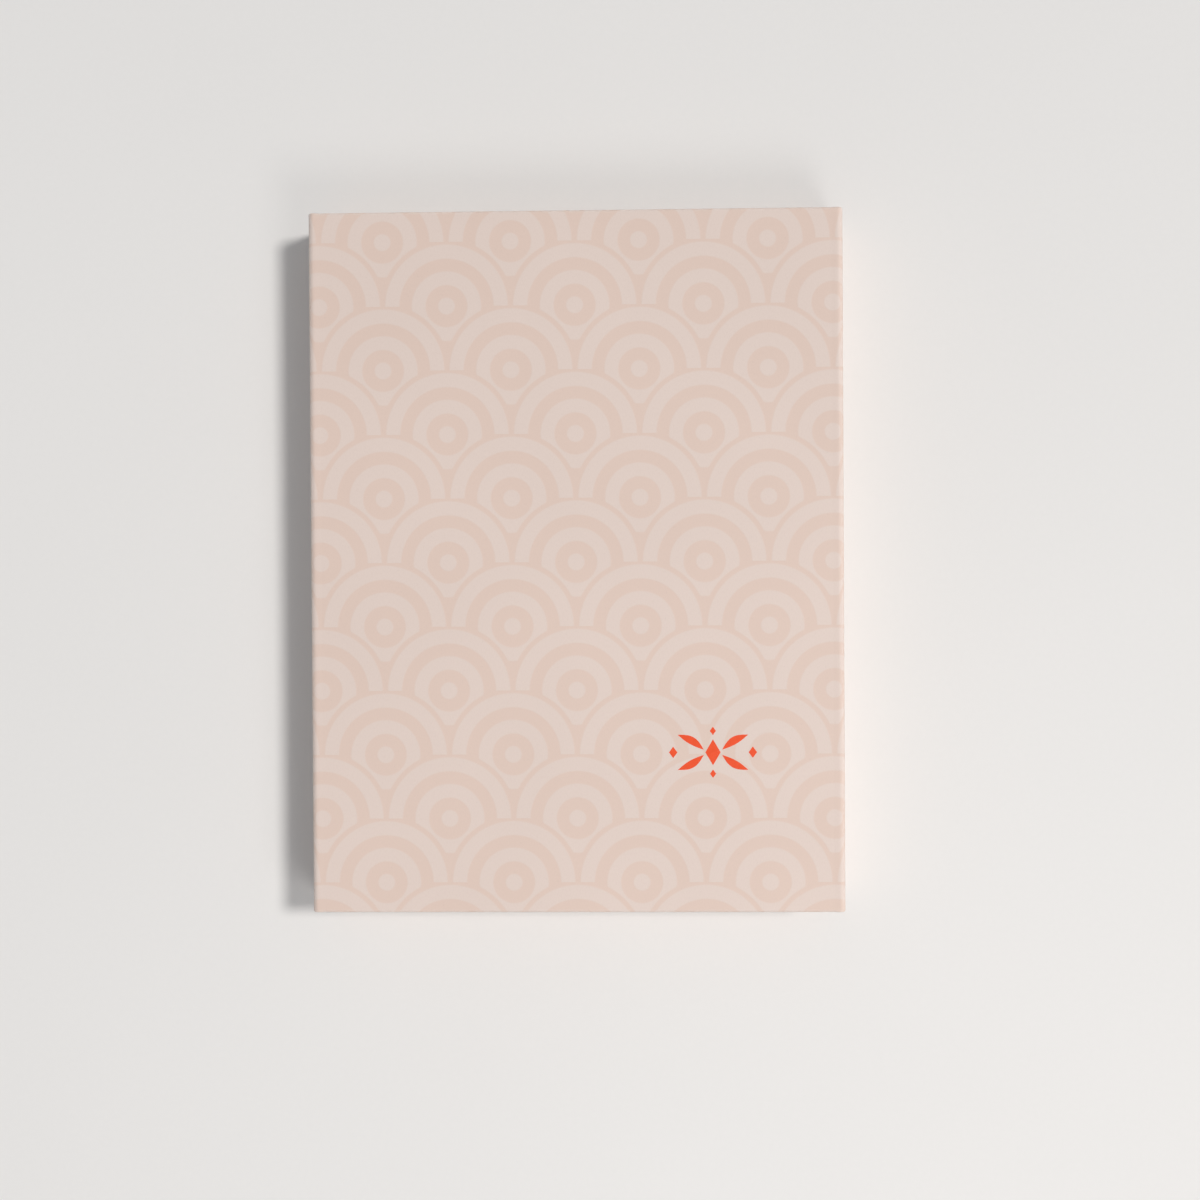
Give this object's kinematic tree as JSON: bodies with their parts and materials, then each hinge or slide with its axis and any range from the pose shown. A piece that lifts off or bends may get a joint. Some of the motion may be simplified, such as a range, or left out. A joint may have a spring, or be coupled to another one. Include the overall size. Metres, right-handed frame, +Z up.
{
  "type": "gift card box",
  "caption": "Flat rigid book-style box covered in blush paper, with a hinged lid, a magnetic closing flap and a die-cut insert for a gift card and an envelope",
  "frame": {"origin": "centre of the underside of the closed box", "axes": "+Z up, +X from the spine towards the closing flap, +Y towards the top edge of the lid as it is read from above"},
  "size_m": [0.14, 0.184, 0.022],
  "materials": {
    "cover_paper": "matte soft-touch paper with a faint tone-on-tone print",
    "lining_paper": "matte uncoated",
    "greyboard": "raw board",
    "foam": "closed-cell foam",
    "facing_paper": "matte flocked paper",
    "satin": "satin weave",
    "card_plastic": "satin laminate",
    "envelope_paper": "laid paper",
    "note_card_stock": "uncoated card",
    "magnet": "nickel plate"
  },
  "bodies": {
    "base": {"base_board": "greyboard", "spine_board": "greyboard", "base_wrap": "cover_paper", "spine_liner": "lining_paper", "tray_board": "greyboard", "tray_wrap": "cover_paper", "tray_liner": "lining_paper", "tray_magnet_front": "magnet", "tray_magnet_back": "magnet", "insert_spacer": "foam", "insert_platform": "foam", "insert_facing": "facing_paper", "pull_ribbon": "satin", "gift_card": "card_plastic", "envelope": "envelope_paper", "note_card": "note_card_stock"},
    "lid": {"lid_board": "greyboard", "lid_wrap": "cover_paper", "lid_liner": "lining_paper"},
    "flap": {"flap_board": "greyboard", "flap_wrap": "cover_paper", "flap_liner": "lining_paper", "flap_magnet_front": "magnet", "flap_magnet_back": "magnet"}
  },
  "joints": [
    {"name": "lid_hinge", "type": "hinge", "parent": "base", "child": "lid", "pos_m": [-0.06968, 0, 0.02168], "axis": [0, -1, 0], "range_deg": [0, 180]},
    {"name": "flap_hinge", "type": "hinge", "parent": "lid", "child": "flap", "pos_m": [0.06968, 0, 0.02168], "axis": [0, -1, 0], "range_deg": [0, 90]}
  ]
}
